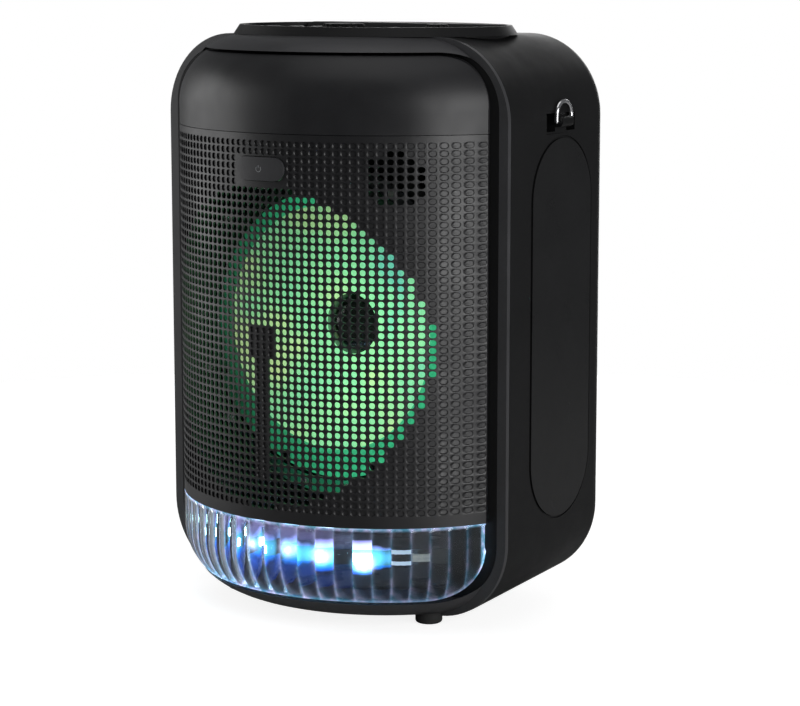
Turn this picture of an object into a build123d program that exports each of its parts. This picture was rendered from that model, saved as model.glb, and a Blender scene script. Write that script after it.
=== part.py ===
"""Portable party speaker, modelled as the assembly of its separate pieces.

Row frame, millimetres: +Z up, the front faces -Y, +X is the viewer's right.
The origin is the middle of the base, on the surface that the rubber feet stand on.
"""
import os
from math import cos, sin, radians, sqrt

from build123d import *

os.makedirs("parts", exist_ok=True)

# ---------------------------------------------------------------- driving dimensions
DEPTH = 214.0            # from the front of the grille to the rear wall
PILL_PROUD = 1.4         # the power button stands this far out of the grille
Y_FRONT = -(DEPTH - PILL_PROUD) / 2
Y_REAR = (DEPTH + PILL_PROUD) / 2

FRONT_R = 140.4          # plan radius of the bowed front
Y_AXIS = Y_FRONT + FRONT_R

CABINET_W = 276.0        # across the bezel
CABINET_Z0 = 5.0
CABINET_Z1 = 384.0
CABINET_CORNER = 54.0    # corner radius seen from the front
CABINET_EDGE = 46.0      # rounding of the bowed front into the top and the base
REAR_W = 262.0           # the tub narrows towards the rear
REAR_Z0 = 11.0
REAR_EDGE = 16.0
WALL = 3.0

COVER_W = 248.6          # lens, grille and cap together
COVER_Z0 = 21.0
COVER_Z1 = 373.0
COVER_CORNER = 33.0
COVER_EDGE = 42.0
COVER_EDGE_Z0 = 8.0      # where the cover's rounded profile would meet the base and the top
COVER_EDGE_Z1 = 380.0
COVER_WALL = 2.6
SEAM = 0.4               # gap between the lens, the grille and the cap
LENS_TOP = 72.4
CAP_BOTTOM = 324.0

POCKET_W = 262.6         # inside of the bezel
POCKET_Z0 = 19.0
POCKET_Z1 = 375.0
POCKET_CORNER = 38.0
Y_FLANGE = Y_FRONT + 77.0  # front of the bezel at the sides, and of the baffle
FLANGE_T = 3.5
BEZEL_GAP = 0.3
BAFFLE_T = 8.0

WOOFER_Z = 190.0
WOOFER_FLANGE_R = 101.0
WOOFER_CUTOUT_R = 93.0
WOOFER_SCREW_R = 97.0
CONE_R = 82.0
SURROUND_R = 92.0
COIL_R = 19.0
CONE_DEPTH = 26.0
CONE_T = 0.8
Y_RIM = Y_FLANGE - 3.0   # front of the woofer's flange

TWEETER_X = 84.5
TWEETER_Z = 297.0
TWEETER_FLANGE_R = 27.0
TWEETER_CUTOUT_R = 21.0

COLLAR_Y = 20.0
COLLAR_RIM_A = 98.0
COLLAR_RIM_B = 77.0
COLLAR_LIP = 4.0         # how far the collar's foot stands out past its rim
COLLAR_Z1 = 390.0
COLLAR_WALL = 3.0
DECK_T = 2.0             # floor of the collar, on the cabinet's top
DECK_Z1 = CABINET_Z1 + DECK_T
WELL_A = 90.0            # hand well behind the controls
WELL_B = 69.0
WELL_Y0 = 18.0
WELL_Z0 = 340.0
WELL_WALL = 2.5

PANEL_A = 93.0
PANEL_B = 72.0
PANEL_Y1 = 16.0
PANEL_T = 1.2
PANEL_Z1 = DECK_Z1 + PANEL_T

HANDLE_Y0 = 51.0
HANDLE_Y1 = 71.0
HANDLE_Z0 = 376.0
HANDLE_Z1 = 390.4

VOLUME_X = 0.0
VOLUME_Y = -15.0
VOLUME_R = 14.0
MIC_X = 67.0
MIC_Y = -4.0
MIC_R = 7.5
KNOB_TOP = 391.4
SHAFT_R = 3.0
SHAFT_GAP = 0.05
BUTTON_XS = (-66.0, -46.0, -28.0, 34.0)
BUTTON_Y = -6.0
BUTTON_R = 5.0
BOARD_Z = 366.0          # top of the control board
BOARD_T = 1.6

BUTTON_TRAVEL = 1.0
RUN_GAP = 0.4            # clearance round a moving button or knob
PILL_W = 38.0
PILL_H = 15.0
PILL_Z = 301.5

FOOT_R = 9.0
FOOT_X = 79.0
FOOT_X_REAR = 60.0
FOOT_Y_FRONT = -30.0
FOOT_Y_REAR = 78.0

STRAP_Z = 322.0
STRAP_Y = 41.0
RING_WIRE_R = 1.4

PORT_X = 0.0
PORT_Z = 268.0
PORT_R = 24.0
PORT_WALL = 2.5
PORT_LENGTH = 62.0

JACK_W = 128.0
JACK_H = 56.0
JACK_Z = 110.0
JACK_LAP = 6.0           # how far the jack panel's flange laps behind the rear wall
JACK_FACE_Y = Y_REAR - 1.0
BOARD_Y = 88.0           # front of the main board

SIDE_PANEL_L = 80.0
SIDE_PANEL_H = 252.0
SIDE_PANEL_Y = 43.0
SIDE_PANEL_Z = 192.0
SIDE_GROOVE = 1.6
SIDE_DEPTH = 1.0
SIDE_PROUD = 0.5


# ---------------------------------------------------------------- helpers
def save(shape, node):
    """Write one named piece."""
    export_step(shape, f"parts/{node}.step")


def front_prism(width, z0, z1, corner, y0, y1):
    """A rounded rectangle seen from the front, run from y0 to y1."""
    plane = Plane(origin=(0, y0, (z0 + z1) / 2), x_dir=(1, 0, 0), z_dir=(0, 1, 0))
    return extrude(plane * RectangleRounded(width, z1 - z0, corner), amount=y1 - y0)


def bowed_solid(radius, z0, z1, edge):
    """The bowed front: a drum about the vertical axis with rounded rims."""
    half = z1 - z0
    face = Rectangle(radius, half, align=(Align.MIN, Align.MIN))
    outer = face.vertices().sort_by(Axis.X)[-2:]
    face = fillet(outer, edge)
    section = Plane(origin=(0, Y_AXIS, z0), x_dir=(1, 0, 0), z_dir=(0, -1, 0)) * face
    return revolve(section, Axis((0, Y_AXIS, 0), (0, 0, 1)))


def slab(x0, x1, y0, y1, z0, z1):
    """A plain block between two corners."""
    block = Box(x1 - x0, y1 - y0, z1 - z0)
    return Pos((x0 + x1) / 2, (y0 + y1) / 2, (z0 + z1) / 2) * block


def rod_y(radius, x, z, y0, y1):
    """A round bar along Y."""
    plane = Plane(origin=(x, y0, z), x_dir=(1, 0, 0), z_dir=(0, 1, 0))
    return extrude(plane * Circle(radius), amount=y1 - y0)


def rod_z(radius, x, y, z0, z1):
    """A round bar along Z."""
    return Pos(x, y, (z0 + z1) / 2) * Cylinder(radius, z1 - z0)


def rod_x(radius, y, z, x0, x1):
    """A round bar along X."""
    plane = Plane(origin=(x0, y, z), x_dir=(0, 1, 0), z_dir=(1, 0, 0))
    return extrude(plane * Circle(radius), amount=x1 - x0)


def ring_y(outer, inner, x, z, y0, y1):
    """A flat ring whose axis is along Y."""
    return rod_y(outer, x, z, y0, y1) - rod_y(inner, x, z, y0 - 1, y1 + 1)


def turned_y(points, x, z):
    """A turned piece about an axis along Y, from (radius, y) corner points."""
    corners = [(x + r, y) for r, y in points]
    face = Plane(origin=(0, 0, z), x_dir=(1, 0, 0), z_dir=(0, 0, 1)) * make_face(Polyline(*corners, close=True))
    return revolve(face, Axis((x, 0, z), (0, 1, 0)))


def oval_prism(a, b, z0, z1):
    """An upright elliptic prism on the collar's centre."""
    return extrude(Pos(0, COLLAR_Y, z0) * Ellipse(a, b), amount=z1 - z0)


def oval_cone(a0, b0, a1, b1, z0, z1):
    """A leaning elliptic wall on the collar's centre."""
    foot = Pos(0, COLLAR_Y, z0) * Ellipse(a0, b0)
    rim = Pos(0, COLLAR_Y, z1) * Ellipse(a1, b1)
    return loft([foot, rim])


def around(count, radius, start=0.0):
    """Points evenly spaced on a circle."""
    return [
        (radius * cos(radians(start + 360 * i / count)), radius * sin(radians(start + 360 * i / count)))
        for i in range(count)
    ]


def section(width, z0, z1, corner, y):
    """A rounded rectangle in the XZ plane at y."""
    plane = Plane(origin=(0, y, (z0 + z1) / 2), x_dir=(1, 0, 0), z_dir=(0, 1, 0))
    return plane * RectangleRounded(width, z1 - z0, corner)


Y_TUB = Y_FLANGE + FLANGE_T + BEZEL_GAP


# ---------------------------------------------------------------- front bezel
def make_front_bezel():
    """The frame round the front, with the bowed chin and brow."""
    nose = bowed_solid(FRONT_R + 0.4, CABINET_Z0, CABINET_Z1, CABINET_EDGE)
    flange = front_prism(CABINET_W + 2, 0, CABINET_Z1 + 2, 20, Y_FLANGE, Y_FLANGE + FLANGE_T)
    outline = front_prism(
        CABINET_W, CABINET_Z0, CABINET_Z1, CABINET_CORNER, Y_FRONT - 1, Y_FLANGE + FLANGE_T
    )
    skin = (nose + flange) & outline
    inner_nose = bowed_solid(FRONT_R - 2.6, CABINET_Z0 + WALL, CABINET_Z1 - WALL, CABINET_EDGE - WALL)
    inner_outline = front_prism(
        CABINET_W - 2 * WALL,
        CABINET_Z0 + WALL,
        CABINET_Z1 - WALL,
        CABINET_CORNER - WALL,
        Y_FRONT,
        Y_FLANGE + FLANGE_T + 1,
    )
    pocket_wall = front_prism(
        POCKET_W + 5, POCKET_Z0 - 2.5, POCKET_Z1 + 2.5, POCKET_CORNER + 2.5, Y_FRONT - 1, Y_TUB + 2
    )
    pocket = front_prism(POCKET_W, POCKET_Z0, POCKET_Z1, POCKET_CORNER, Y_FRONT - 2, Y_TUB + 2)
    bezel = skin - ((inner_nose & inner_outline) - pocket_wall) - pocket
    for x, y in foot_places():
        bezel -= rod_z(1.6, x, y, 0, 18)
    return bezel


# ---------------------------------------------------------------- cover pieces
def cover_body():
    """The whole bowed cover as a hollow cup that opens to the rear."""
    outside = bowed_solid(FRONT_R, COVER_EDGE_Z0, COVER_EDGE_Z1, COVER_EDGE)
    outline = front_prism(COVER_W, COVER_Z0, COVER_Z1, COVER_CORNER, Y_FRONT - 1, Y_FLANGE)
    t = COVER_WALL
    inside = bowed_solid(FRONT_R - t, COVER_EDGE_Z0 + t, COVER_EDGE_Z1 - t, COVER_EDGE - t)
    hollow = front_prism(
        COVER_W - 2 * t, COVER_Z0 + t, COVER_Z1 - t, COVER_CORNER - t, Y_FRONT - 1, Y_FLANGE + 1
    )
    return (outside & outline) - (inside & hollow)


def band(z0, z1):
    """Everything between two heights."""
    return slab(-150, 150, Y_FRONT - 2, Y_FLANGE + 2, z0, z1)


def pill(width, height, z, y0, y1):
    """A pill-shaped bar along Y."""
    plane = Plane(origin=(0, y0, z), x_dir=(1, 0, 0), z_dir=(0, 1, 0))
    return extrude(plane * SlotOverall(width, height), amount=y1 - y0)


def make_power_button():
    """The pill-shaped push-button that stands just proud of the grille."""
    body = pill(PILL_W, PILL_H, PILL_Z, Y_FRONT - 10, Y_FRONT + 8)
    face = bowed_solid(FRONT_R + PILL_PROUD, COVER_EDGE_Z0, COVER_EDGE_Z1, COVER_EDGE)
    stem = rod_y(4.0, 0, PILL_Z, Y_FRONT + 7.9, Y_FRONT + 14.0)
    return (body & face) + stem


def make_switch_board():
    """The small board behind the power button, with its tact switch, on a bracket from the baffle."""
    board = slab(-16, 16, Y_FRONT + 19.5, Y_FRONT + 21.1, PILL_Z - 9, PILL_Z + 9)
    switch = slab(-3, 3, Y_FRONT + 15.6, Y_FRONT + 19.5, PILL_Z - 3, PILL_Z + 3)
    legs = slab(-16, -13, Y_FRONT + 21.1, Y_FLANGE, PILL_Z + 2, PILL_Z + 9)
    legs += slab(13, 16, Y_FRONT + 21.1, Y_FLANGE, PILL_Z + 2, PILL_Z + 9)
    return board + switch + legs


# ---------------------------------------------------------------- lower light
LED_XS = (-95.0, -65.0, -35.0, -5.0, 25.0, 55.0, 85.0)
LED_Z = 48.0
REFLECTOR_R = FRONT_R - 24.0


def make_reflector():
    """A bowed tray behind the lens that carries the light strip."""
    outside = bowed_solid(REFLECTOR_R, 26, 70, 4)
    inside = bowed_solid(REFLECTOR_R - 2, 24, 67.5, 2)
    outline = front_prism(236, 26, 70, 4, Y_FRONT, Y_FLANGE)
    return (outside - inside) & outline


def make_led_strip():
    """The flexible board on the front of the reflector."""
    strip = rod_z(REFLECTOR_R + 1.0, 0, Y_AXIS, LED_Z - 5, LED_Z + 5)
    strip -= rod_z(REFLECTOR_R, 0, Y_AXIS, LED_Z - 6, LED_Z + 6)
    return strip & slab(-100, 100, Y_FRONT, Y_FLANGE, LED_Z - 6, LED_Z + 6)


def make_lens_leds():
    """The light-emitting packages, side by side along the strip."""
    leds = []
    for x in LED_XS:
        y = Y_AXIS - sqrt((REFLECTOR_R + 1.0) ** 2 - x * x)
        slope = x / (REFLECTOR_R + 1.0)
        turn = -Vector(-slope, -sqrt(1 - slope * slope), 0).get_angle(Vector(0, -1, 0))
        turn = turn if x < 0 else -turn
        leds.append(Pos(x, y, LED_Z) * Rot(0, 0, turn) * Pos(0, -1.0, 0) * Box(5.0, 1.8, 5.0))
    return Compound(children=leds)


# ---------------------------------------------------------------- baffle and drivers
LUG_PLACES = [(x, z) for x in (-116.0, 116.0) for z in (80.0, 190.0, 300.0)]
RING_POST_R = 107.5


def make_baffle():
    """The plate that carries the drivers."""
    plate = front_prism(
        POCKET_W - 0.4, POCKET_Z0 + 0.2, POCKET_Z1 - 0.2, POCKET_CORNER, Y_FLANGE, Y_FLANGE + BAFFLE_T
    )
    plate -= rod_y(WOOFER_CUTOUT_R, 0, WOOFER_Z, Y_FLANGE - 1, Y_FLANGE + BAFFLE_T + 1)
    plate -= rod_y(TWEETER_CUTOUT_R, TWEETER_X, TWEETER_Z, Y_FLANGE - 1, Y_FLANGE + BAFFLE_T + 1)
    for x, z in around(8, WOOFER_SCREW_R, 22.5):
        plate -= rod_y(1.75, x, WOOFER_Z + z, Y_FLANGE - 1, Y_FLANGE + BAFFLE_T + 1)
    for x, z in around(4, 24.0, 45):
        plate -= rod_y(1.25, TWEETER_X + x, TWEETER_Z + z, Y_FLANGE - 1, Y_FLANGE + BAFFLE_T + 1)
    for x, z in LUG_PLACES:
        plate -= rod_y(1.5, x, z, Y_FLANGE - 1, Y_FLANGE + BAFFLE_T + 1)
    for x, z in around(6, RING_POST_R, 10):
        plate += rod_y(3.0, x, WOOFER_Z + z, Y_FLANGE - 4.4, Y_FLANGE + 0.1)
    return plate


Y_CONE_EDGE = Y_FLANGE - 2.0
Y_CONE_NECK = Y_CONE_EDGE + CONE_DEPTH
Y_SPIDER = Y_CONE_NECK + 6.0
Y_TOP_PLATE = Y_SPIDER + 9.0
TOP_PLATE_T = 6.0
MAGNET_T = 18.0
BACK_PLATE_T = 6.0
MAGNET_R = 50.0
POLE_R = 17.6
GAP_R = 20.6


def make_woofer_frame():
    """The pressed basket: flange, six legs and the seat for the magnet."""
    flange = ring_y(WOOFER_FLANGE_R, SURROUND_R - 6, 0, WOOFER_Z, Y_RIM, Y_FLANGE)
    skirt = turned_y(
        [(88.0, Y_FLANGE), (90.0, Y_FLANGE), (90.0, Y_FLANGE + 10), (56.0, Y_TOP_PLATE - 2), (54.0, Y_TOP_PLATE - 2),
         (88.0, Y_FLANGE + 9)],
        0, WOOFER_Z,
    )
    for angle in range(0, 360, 60):
        window = Pos(0, 0, WOOFER_Z) * Rot(0, angle, 0) * Pos(70, (Y_FLANGE + Y_TOP_PLATE) / 2 + 4, 0)
        skirt -= window * Box(60, 14, 46)
    seat = ring_y(56.0, 22.0, 0, WOOFER_Z, Y_TOP_PLATE - 2, Y_TOP_PLATE)
    spider_ledge = ring_y(56.0, 50.0, 0, WOOFER_Z, Y_SPIDER, Y_TOP_PLATE - 2)
    frame = flange + skirt + seat + spider_ledge
    for x, z in around(8, WOOFER_SCREW_R, 22.5):
        frame -= rod_y(2.2, x, WOOFER_Z + z, Y_RIM - 1, Y_FLANGE + 1)
    return frame


def make_surround():
    """The rubber half-roll between the cone and the flange."""
    mid = (CONE_R + SURROUND_R) / 2
    roll = (SURROUND_R - CONE_R) / 2
    torus = Pos(0, Y_RIM, WOOFER_Z) * Rot(90, 0, 0) * (Torus(mid, roll) - Torus(mid, roll - 0.9))
    front_half = torus & slab(-120, 120, Y_RIM - 20, Y_RIM, 0, 380)
    return front_half


def make_cone():
    """The lit cone: a thin funnel that turns down to its neck."""
    y0 = Y_RIM
    y1 = Y_CONE_NECK
    points = []
    steps = 8
    for i in range(steps + 1):
        t = i / steps
        radius = CONE_R + 0.0 + (COIL_R - CONE_R) * t
        points.append((radius, y0 + (y1 - y0) * t ** 0.86))
    inner = [(r, y + CONE_T + 0.4) for r, y in reversed(points)]
    return turned_y(points + inner, 0, WOOFER_Z)


def make_dust_cap():
    """The glossy dome over the voice coil."""
    radius = 20.5
    rise = 7.0
    ball = (radius * radius + rise * rise) / (2 * rise)
    y_seat = Y_CONE_NECK - 1.4
    centre = y_seat - rise + ball
    dome = Pos(0, centre, WOOFER_Z) * (Sphere(ball) - Sphere(ball - 0.8))
    return dome & rod_y(radius, 0, WOOFER_Z, y_seat - rise - 1, y_seat)


def make_voice_coil():
    """The coil former with its winding, hanging in the magnet gap."""
    former = ring_y(COIL_R, COIL_R - 0.5, 0, WOOFER_Z, Y_CONE_NECK + CONE_T + 0.4, Y_TOP_PLATE + 8)
    winding = ring_y(COIL_R + 0.7, COIL_R, 0, WOOFER_Z, Y_TOP_PLATE - 4, Y_TOP_PLATE + 8)
    return former + winding


def make_spider():
    """The corrugated centring disc, a flat ring here with its three waves."""
    points = []
    waves = 3
    inner = COIL_R + 0.75
    outer = 54.0
    steps = waves * 8
    for i in range(steps + 1):
        t = i / steps
        points.append((inner + (outer - inner) * t, Y_SPIDER - 2 + 1.4 * sin(radians(360 * waves * t))))
    back = [(r, y + 0.6) for r, y in reversed(points)]
    return turned_y(points + back, 0, WOOFER_Z)


def make_tweeter_frame():
    """The small driver's square-edged flange and pot."""
    frame = ring_y(TWEETER_FLANGE_R, 14.5, TWEETER_X, TWEETER_Z, Y_FLANGE - 2.5, Y_FLANGE)
    frame += ring_y(20.5, 18.5, TWEETER_X, TWEETER_Z, Y_FLANGE, Y_FLANGE + 16)
    frame += ring_y(18.6, 10.0, TWEETER_X, TWEETER_Z, Y_FLANGE + 14, Y_FLANGE + 16)
    for x, z in around(4, 24.0, 45):
        frame -= rod_y(1.6, TWEETER_X + x, TWEETER_Z + z, Y_FLANGE - 3, Y_FLANGE + 1)
    return frame


def make_tweeter_dome():
    """The small cone with its centre dome."""
    points = [(14.4, Y_FLANGE - 1.0), (9.0, Y_FLANGE + 4), (7.0, Y_FLANGE + 1.5), (3.5, Y_FLANGE - 0.4),
              (0, Y_FLANGE - 1.0), (0, Y_FLANGE - 0.2), (3.2, Y_FLANGE + 0.5), (6.4, Y_FLANGE + 2.3),
              (9.0, Y_FLANGE + 5.2), (14.4, Y_FLANGE - 0.1)]
    return turned_y(points, TWEETER_X, TWEETER_Z)


def screws_y(places, y_head, head_r, shank_r, length, head_t=1.8):
    """Pan-head screws driven along +Y, each a separate solid."""
    solids = []
    for x, z in places:
        head = rod_y(head_r, x, z, y_head - head_t, y_head)
        shank = rod_y(shank_r, x, z, y_head - 0.1, y_head + length)
        cross = slab(x - head_r * 0.6, x + head_r * 0.6, y_head - head_t - 1, y_head - head_t + 0.9, z - 0.4, z + 0.4)
        cross += slab(x - 0.4, x + 0.4, y_head - head_t - 1, y_head - head_t + 0.9, z - head_r * 0.6, z + head_r * 0.6)
        solids.append(head + shank - cross)
    return solids


# ---------------------------------------------------------------- cone light ring
LIGHT_RING_OUT = 112.0
LIGHT_RING_IN = 103.0


def make_light_ring():
    """The ring board round the woofer that lights the cone."""
    return ring_y(LIGHT_RING_OUT, LIGHT_RING_IN, 0, WOOFER_Z, Y_FLANGE - 6.0, Y_FLANGE - 4.4)


def make_ring_leds():
    """The packages on the ring board."""
    leds = []
    for x, z in around(18, RING_POST_R, 0):
        leds.append(Pos(x, Y_FLANGE - 7.0, WOOFER_Z + z) * Box(5.0, 2.0, 5.0))
    return Compound(children=leds)


# ---------------------------------------------------------------- tub
def tub_outside(grow=0.0):
    """The tub's outer shape, or one a little larger on its sides."""
    return loft([
        section(CABINET_W + 2 * grow, CABINET_Z0, CABINET_Z1, CABINET_CORNER, Y_TUB),
        section(REAR_W + 2 * grow, REAR_Z0, CABINET_Z1, CABINET_CORNER, Y_REAR),
    ], ruled=True)


def tub_inside():
    """The space inside the tub."""
    return loft([
        section(CABINET_W - 2 * WALL, CABINET_Z0 + WALL, CABINET_Z1 - WALL, CABINET_CORNER - WALL, Y_TUB - 0.01),
        section(REAR_W - 2 * WALL, REAR_Z0 + WALL, CABINET_Z1 - WALL, CABINET_CORNER - WALL, Y_REAR - WALL),
    ], ruled=True)


def side_oblong(side, margin, x0, x1):
    """The oblong of a side panel, run along X on one side."""
    plane = Plane(origin=(side * x0, SIDE_PANEL_Y, SIDE_PANEL_Z), x_dir=(0, 0, 1), z_dir=(side, 0, 0))
    shape = SlotOverall(SIDE_PANEL_H + 2 * margin, SIDE_PANEL_L + 2 * margin)
    return extrude(plane * shape, amount=x1 - x0)


def well_prism(grow, z0, z1):
    """The hand well's outline, an oval with its front cut straight."""
    oval = oval_prism(WELL_A + grow, WELL_B + grow, z0, z1)
    return oval & slab(-120, 120, WELL_Y0 - grow, 120, z0, z1)


BRACKET_Y0 = STRAP_Y - 20.0
BRACKET_Y1 = STRAP_Y + 20.0
BRACKET_Z0 = STRAP_Z - 1.0
BRACKET_Z1 = STRAP_Z + 14.0


TOP_PLATE_A = 96.0
TOP_PLATE_B = 75.0
PLATE_GAP = 0.2
REAR_PANEL_W = 206.0
REAR_PANEL_Z0 = 36.0
REAR_PANEL_Z1 = 358.0
REAR_PANEL_CORNER = 34.0
LEDGE_IN = 9.0           # how far the ledge behind the rear panel reaches inwards
LEDGE_T = 3.3
REAR_SCREWS = [(x, z) for x in (-97.0, 97.0) for z in (74.0, 197.0, 320.0)]


def top_plate_outline(grow, z0, z1):
    """The oval plate under the collar, running out to the front edge of the tub."""
    oval = oval_prism(TOP_PLATE_A + grow, TOP_PLATE_B + grow, z0, z1)
    return oval & slab(-120, 120, Y_TUB - (1 if grow else 0), 120, z0, z1)


def rear_panel_outline(grow, y0, y1):
    """The removable panel in the rear wall."""
    return front_prism(
        REAR_PANEL_W + 2 * grow, REAR_PANEL_Z0 - grow, REAR_PANEL_Z1 + grow, REAR_PANEL_CORNER + grow, y0, y1
    )


def make_top_plate():
    """The plate that closes the tub under the collar, with holes for the well and the controls."""
    plate = top_plate_outline(0, CABINET_Z1 - WALL, CABINET_Z1)
    plate -= well_prism(WELL_WALL + 0.2, CABINET_Z1 - 20, CABINET_Z1 + 5)
    return plate - slab(-76, 76, -21, 6, CABINET_Z1 - 10, CABINET_Z1 + 5)


def make_rear_panel():
    """The rear panel, with holes for the port, the jack panel and its screws."""
    panel = rear_panel_outline(0, Y_REAR - WALL + 0.1, Y_REAR)
    panel -= rod_y(PORT_R + PORT_WALL, PORT_X, PORT_Z, Y_REAR - 20, Y_REAR + 5)
    panel -= slab(
        -JACK_W / 2 + JACK_LAP, JACK_W / 2 - JACK_LAP, Y_REAR - 20, Y_REAR + 5,
        JACK_Z - JACK_H / 2 + JACK_LAP, JACK_Z + JACK_H / 2 - JACK_LAP,
    )
    for x, z in REAR_SCREWS:
        panel -= rod_y(3.3, x, z, Y_REAR - 1.6, Y_REAR + 1) + rod_y(1.6, x, z, Y_REAR - 5, Y_REAR + 1)
    return panel


def make_rear_screws():
    """The screws that hold the rear panel to its ledge."""
    return [
        rod_y(3.0, x, z, Y_REAR - 1.6, Y_REAR - 0.2) + rod_y(1.5, x, z, Y_REAR - WALL - LEDGE_T + 0.2, Y_REAR - 1.5)
        for x, z in REAR_SCREWS
    ]


def make_rear_cabinet():
    """The tub: sides, base and the rims of its top and rear wall."""
    outer = tub_outside()
    outer = fillet(outer.faces().sort_by(Axis.Y)[-1].edges(), REAR_EDGE)
    inner = tub_inside()
    inner = fillet(inner.faces().sort_by(Axis.Y)[-1].edges(), REAR_EDGE - WALL)
    tub = outer - inner
    lugs = Part()
    for x, z in LUG_PLACES:
        lugs += slab(x - 9, x + 9, Y_FLANGE + BAFFLE_T, Y_FLANGE + BAFFLE_T + 12, z - 7, z + 7)
        side = 1 if x > 0 else -1
        lugs += slab(
            min(x, side * 140), max(x, side * 140), Y_FLANGE + BAFFLE_T, Y_FLANGE + BAFFLE_T + 12, z - 7, z + 7
        ) & outer
    tub += lugs
    for x, z in LUG_PLACES:
        tub -= rod_y(1.5, x, z, Y_FLANGE, Y_FLANGE + BAFFLE_T + 10)
    tub -= top_plate_outline(PLATE_GAP, CABINET_Z1 - 20, CABINET_Z1 + 5)
    y_ledge = Y_REAR - WALL
    tub -= rear_panel_outline(PLATE_GAP, y_ledge - 1, Y_REAR + 5)
    ledge = rear_panel_outline(6, y_ledge - LEDGE_T, y_ledge + 1)
    ledge -= rear_panel_outline(-LEDGE_IN, y_ledge - 10, y_ledge + 5)
    ledge -= rear_panel_outline(PLATE_GAP, y_ledge, y_ledge + 5)
    for x, z in REAR_SCREWS:
        ledge -= rod_y(1.5, x, z, y_ledge - 10, y_ledge + 1)
    tub += ledge
    for side in (-1, 1):
        skin = tub_outside(5) - tub_outside(-SIDE_DEPTH)
        tub -= skin & side_oblong(side, SIDE_GROOVE, 100, 150)
        tub -= slab(
            min(side * 120, side * 150), max(side * 120, side * 150), BRACKET_Y0, BRACKET_Y1, BRACKET_Z0, BRACKET_Z1
        )
    for x, y in foot_places():
        tub -= rod_z(1.6, x, y, 0, 30)
    return tub


def foot_places():
    """Where the four feet stand."""
    front = [(x, FOOT_Y_FRONT) for x in (-FOOT_X, FOOT_X)]
    rear = [(x, FOOT_Y_REAR) for x in (-FOOT_X_REAR, FOOT_X_REAR)]
    return front + rear


def make_side_panel(side):
    """The oblong inlay on one side, set in a shallow recess with a groove round it."""
    skin = tub_outside(SIDE_PROUD) - tub_outside(-SIDE_DEPTH)
    return skin & side_oblong(side, 0, 100, 150)


# ---------------------------------------------------------------- straps
RING_X = 136.4           # hinge axis of a strap ring, out from the middle
RING_Z = STRAP_Z + 7.0
RING_HALF = 9.0
BOSS_HALF = 7.0
BOSS_R = 3.6
RING_LEG = 4.0


def make_strap_bracket(side):
    """The cup let into the side wall, with the barrel that holds the ring."""
    cup = slab(124, 134, BRACKET_Y0, BRACKET_Y1, BRACKET_Z0, BRACKET_Z1)
    cup &= tub_outside()
    for y0, y1 in ((BRACKET_Y0 + 1.5, STRAP_Y - BOSS_HALF), (STRAP_Y + BOSS_HALF, BRACKET_Y1 - 1.5)):
        cup -= slab(126.5, 150, y0, y1, BRACKET_Z0 + 1.5, BRACKET_Z1 - 1.5)
    barrel = Plane(origin=(RING_X, STRAP_Y - BOSS_HALF, RING_Z), x_dir=(1, 0, 0), z_dir=(0, 1, 0)) * Circle(BOSS_R)
    boss = extrude(barrel, amount=2 * BOSS_HALF)
    boss += slab(127, RING_X, STRAP_Y - BOSS_HALF, STRAP_Y + BOSS_HALF, RING_Z - BOSS_R, RING_Z + BOSS_R)
    bore = Plane(origin=(RING_X, STRAP_Y - 30, RING_Z), x_dir=(1, 0, 0), z_dir=(0, 1, 0))
    bracket = cup + boss - extrude(bore * Circle(RING_WIRE_R + SHAFT_GAP), amount=60)
    return bracket if side > 0 else mirror(bracket, Plane.YZ)


def make_strap_ring(side):
    """The bent wire loop that a carrying strap clips to."""
    y0 = STRAP_Y - RING_HALF
    y1 = STRAP_Y + RING_HALF
    z0 = RING_Z
    z1 = RING_Z + RING_LEG
    path = Wire([
        Edge.make_line((RING_X, y0 + 5, z0), (RING_X, y0, z0)),
        Edge.make_line((RING_X, y0, z0), (RING_X, y0, z1)),
        Edge.make_three_point_arc((RING_X, y0, z1), (RING_X, STRAP_Y, z1 + RING_HALF), (RING_X, y1, z1)),
        Edge.make_line((RING_X, y1, z1), (RING_X, y1, z0)),
        Edge.make_line((RING_X, y1, z0), (RING_X, y1 - 5, z0)),
    ])
    start = Plane(origin=(RING_X, y0 + 5, z0), z_dir=(0, -1, 0))
    ring = sweep(start * Circle(RING_WIRE_R), path=path, transition=Transition.ROUND)
    return ring if side > 0 else mirror(ring, Plane.YZ)


# ---------------------------------------------------------------- top
def make_top_collar():
    """The oval collar on top, with its deck."""
    outside = oval_cone(
        COLLAR_RIM_A + COLLAR_LIP, COLLAR_RIM_B + COLLAR_LIP, COLLAR_RIM_A, COLLAR_RIM_B, CABINET_Z1, COLLAR_Z1
    )
    inside = oval_prism(COLLAR_RIM_A - COLLAR_WALL, COLLAR_RIM_B - COLLAR_WALL, DECK_Z1, COLLAR_Z1 + 5)
    collar = outside - inside
    collar -= well_prism(0, CABINET_Z1 - 1, COLLAR_Z1 + 1)
    for x, y, radius in shaft_places():
        collar -= rod_z(radius, x, y, CABINET_Z1 - 1, DECK_Z1 + 1)
    return collar


def make_hand_well():
    """The deep cup under the deck, for the hand that holds the grip."""
    cup = well_prism(WELL_WALL, WELL_Z0, CABINET_Z1)
    return cup - well_prism(0, WELL_Z0 + WELL_WALL, CABINET_Z1 + 1)


def shaft_places():
    """Every hole in the control panel: position and radius."""
    holes = [(VOLUME_X, VOLUME_Y, 4.5), (MIC_X, MIC_Y, 4.5)]
    for x in BUTTON_XS:
        holes.append((x, BUTTON_Y, BUTTON_R + RUN_GAP))
    return holes


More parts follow.
